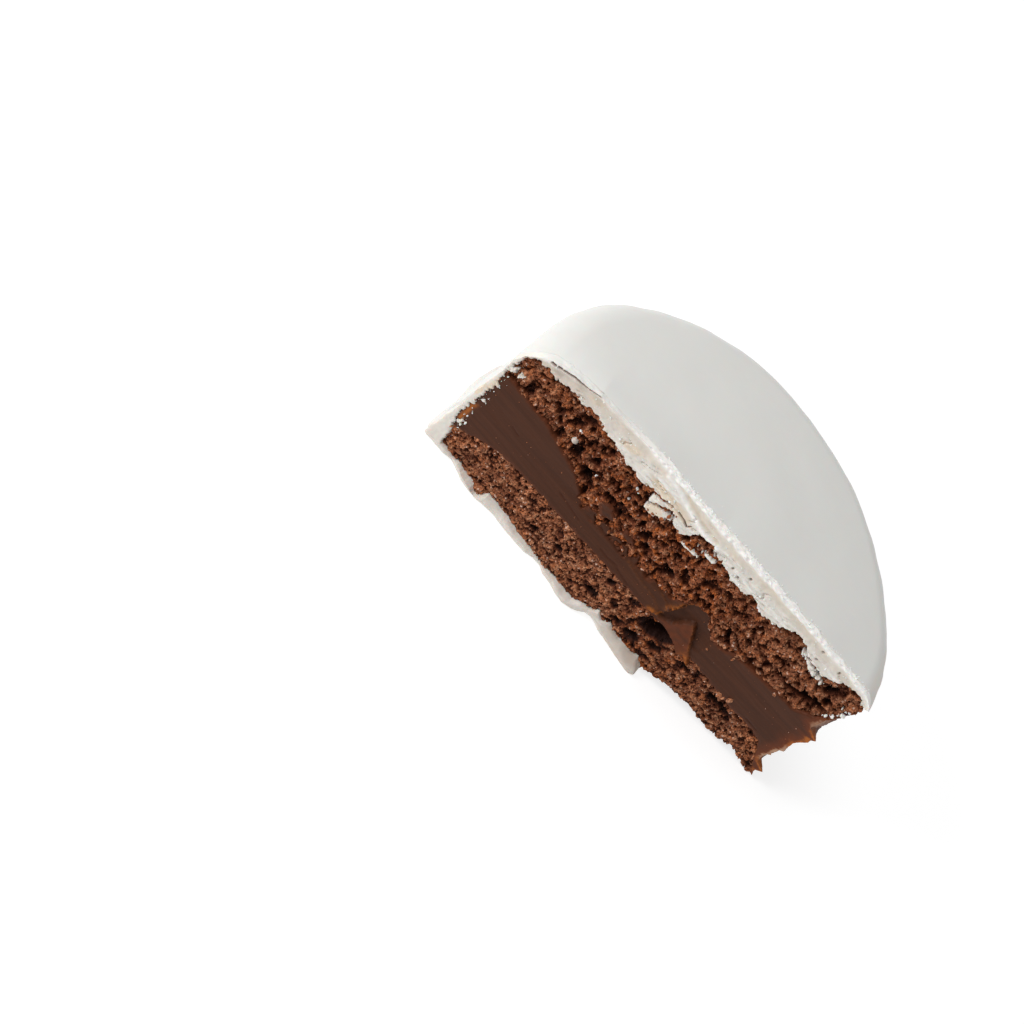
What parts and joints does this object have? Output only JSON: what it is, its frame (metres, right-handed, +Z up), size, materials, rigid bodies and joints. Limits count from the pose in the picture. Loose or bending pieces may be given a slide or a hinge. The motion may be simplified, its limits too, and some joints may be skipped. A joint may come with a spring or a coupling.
{
  "type": "half alfajor",
  "caption": "Half of a round iced chocolate sandwich biscuit, cut straight across to show the crumbly biscuit, thick chocolate filling and white icing.",
  "frame": {"origin": "bottom centre of the half's bounding box, on the surface it rests on", "axes": "+X along the straight cut, to the right when facing it, +Y away from the cut side towards the round back, +Z up"},
  "size_m": [0.0621, 0.0367, 0.0252],
  "materials": {
    "icing": "satin white sugar icing, matt and chalky where broken",
    "biscuit": "dry crumbly cocoa biscuit",
    "filling": "smooth dense chocolate cream with a soft sheen"
  },
  "bodies": {
    "root": {"icing_coat": "icing", "biscuit_top": "biscuit", "filling": "filling", "biscuit_bottom": "biscuit"}
  },
  "joints": []
}
